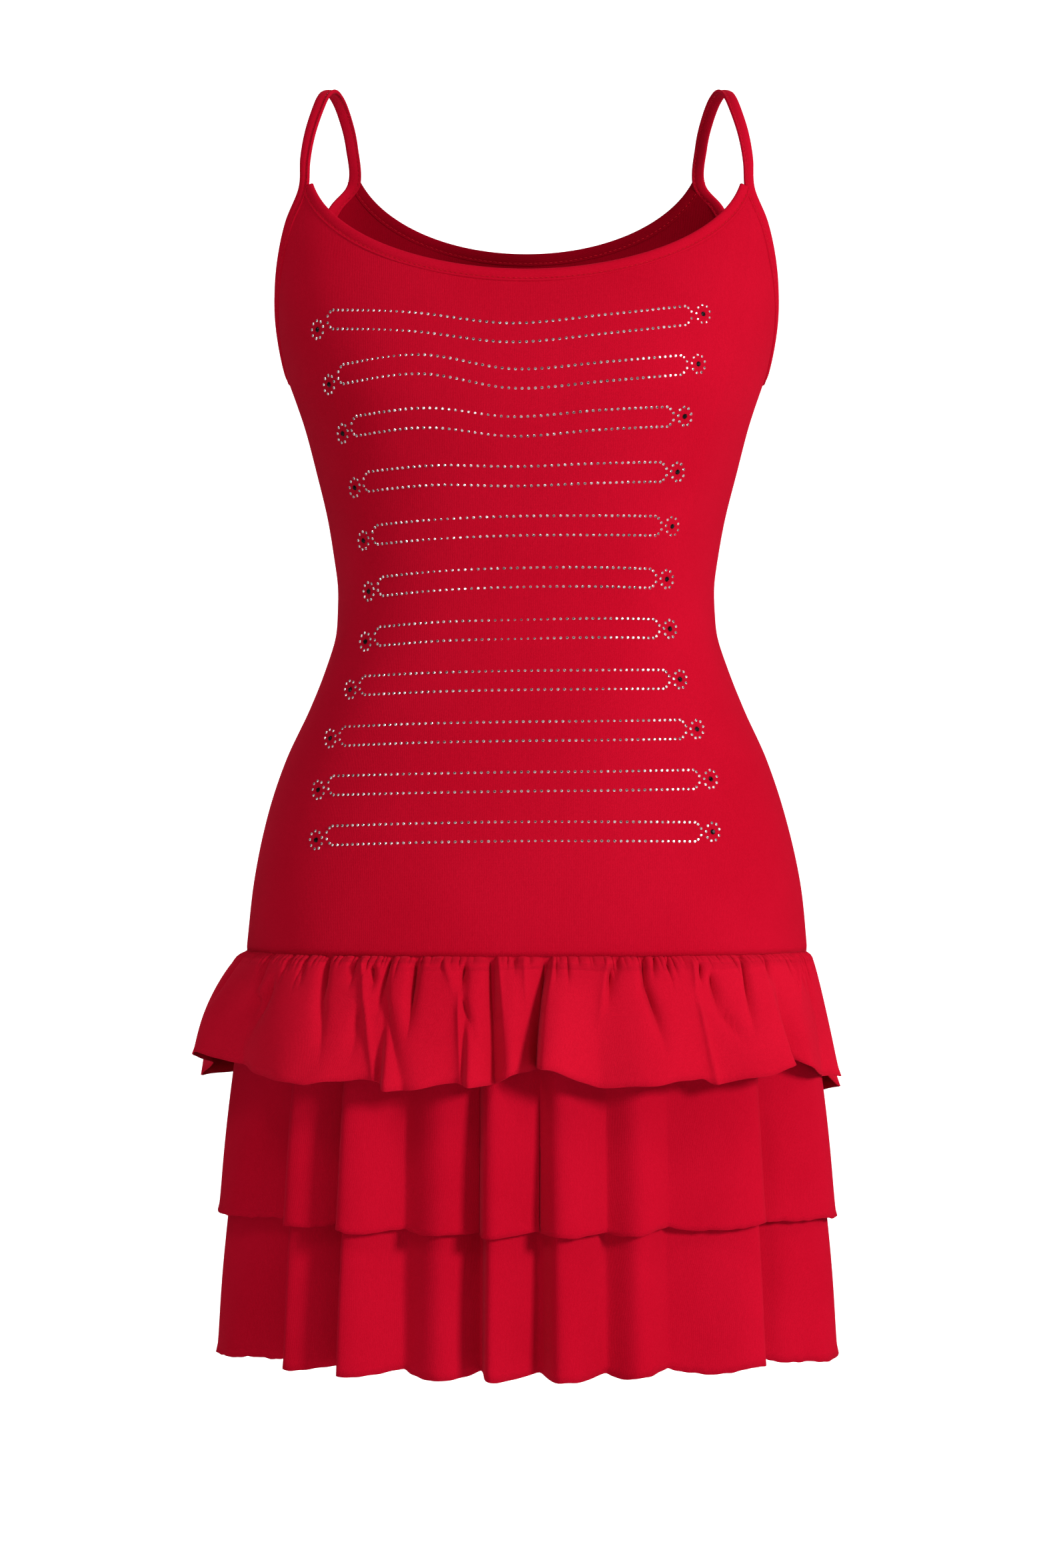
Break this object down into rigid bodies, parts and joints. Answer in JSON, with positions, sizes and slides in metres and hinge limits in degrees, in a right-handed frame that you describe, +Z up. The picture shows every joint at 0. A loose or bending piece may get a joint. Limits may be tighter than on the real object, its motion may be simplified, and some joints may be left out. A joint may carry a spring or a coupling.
{
  "type": "ruffle mini dress",
  "caption": "Close-fitting knit camisole dress with bound neck and shoulder straps and a dropped waist with a gathered ruffle over fluted tiers.",
  "frame": {"origin": "midway between the two straps, at the height where they rest on the wearer's shoulders", "axes": "+Z up along the dress, from the hem to the straps; the front faces -Y; +X is the wearer's left"},
  "size_m": [0.3968, 0.2978, 0.7798],
  "materials": {
    "front_panel": "smooth double-knit jersey, soft sheen",
    "back_panel": "smooth double-knit jersey, soft sheen",
    "neck_binding_front": "folded jersey binding",
    "neck_binding_back": "folded jersey binding",
    "strap_left": "folded jersey binding",
    "strap_right": "folded jersey binding",
    "ruffle_front": "smooth double-knit jersey, soft sheen",
    "ruffle_back": "smooth double-knit jersey, soft sheen",
    "middle_tier_front": "smooth double-knit jersey, soft sheen",
    "middle_tier_back": "smooth double-knit jersey, soft sheen",
    "lower_tier_front": "smooth double-knit jersey, soft sheen",
    "lower_tier_back": "smooth double-knit jersey, soft sheen"
  },
  "bodies": {
    "root": {"front_panel": "front_panel", "back_panel": "back_panel", "neck_binding_front": "neck_binding_front", "neck_binding_back": "neck_binding_back", "strap_left": "strap_left", "strap_right": "strap_right", "ruffle_front": "ruffle_front", "ruffle_back": "ruffle_back", "middle_tier_front": "middle_tier_front", "middle_tier_back": "middle_tier_back", "lower_tier_front": "lower_tier_front", "lower_tier_back": "lower_tier_back"}
  },
  "joints": []
}
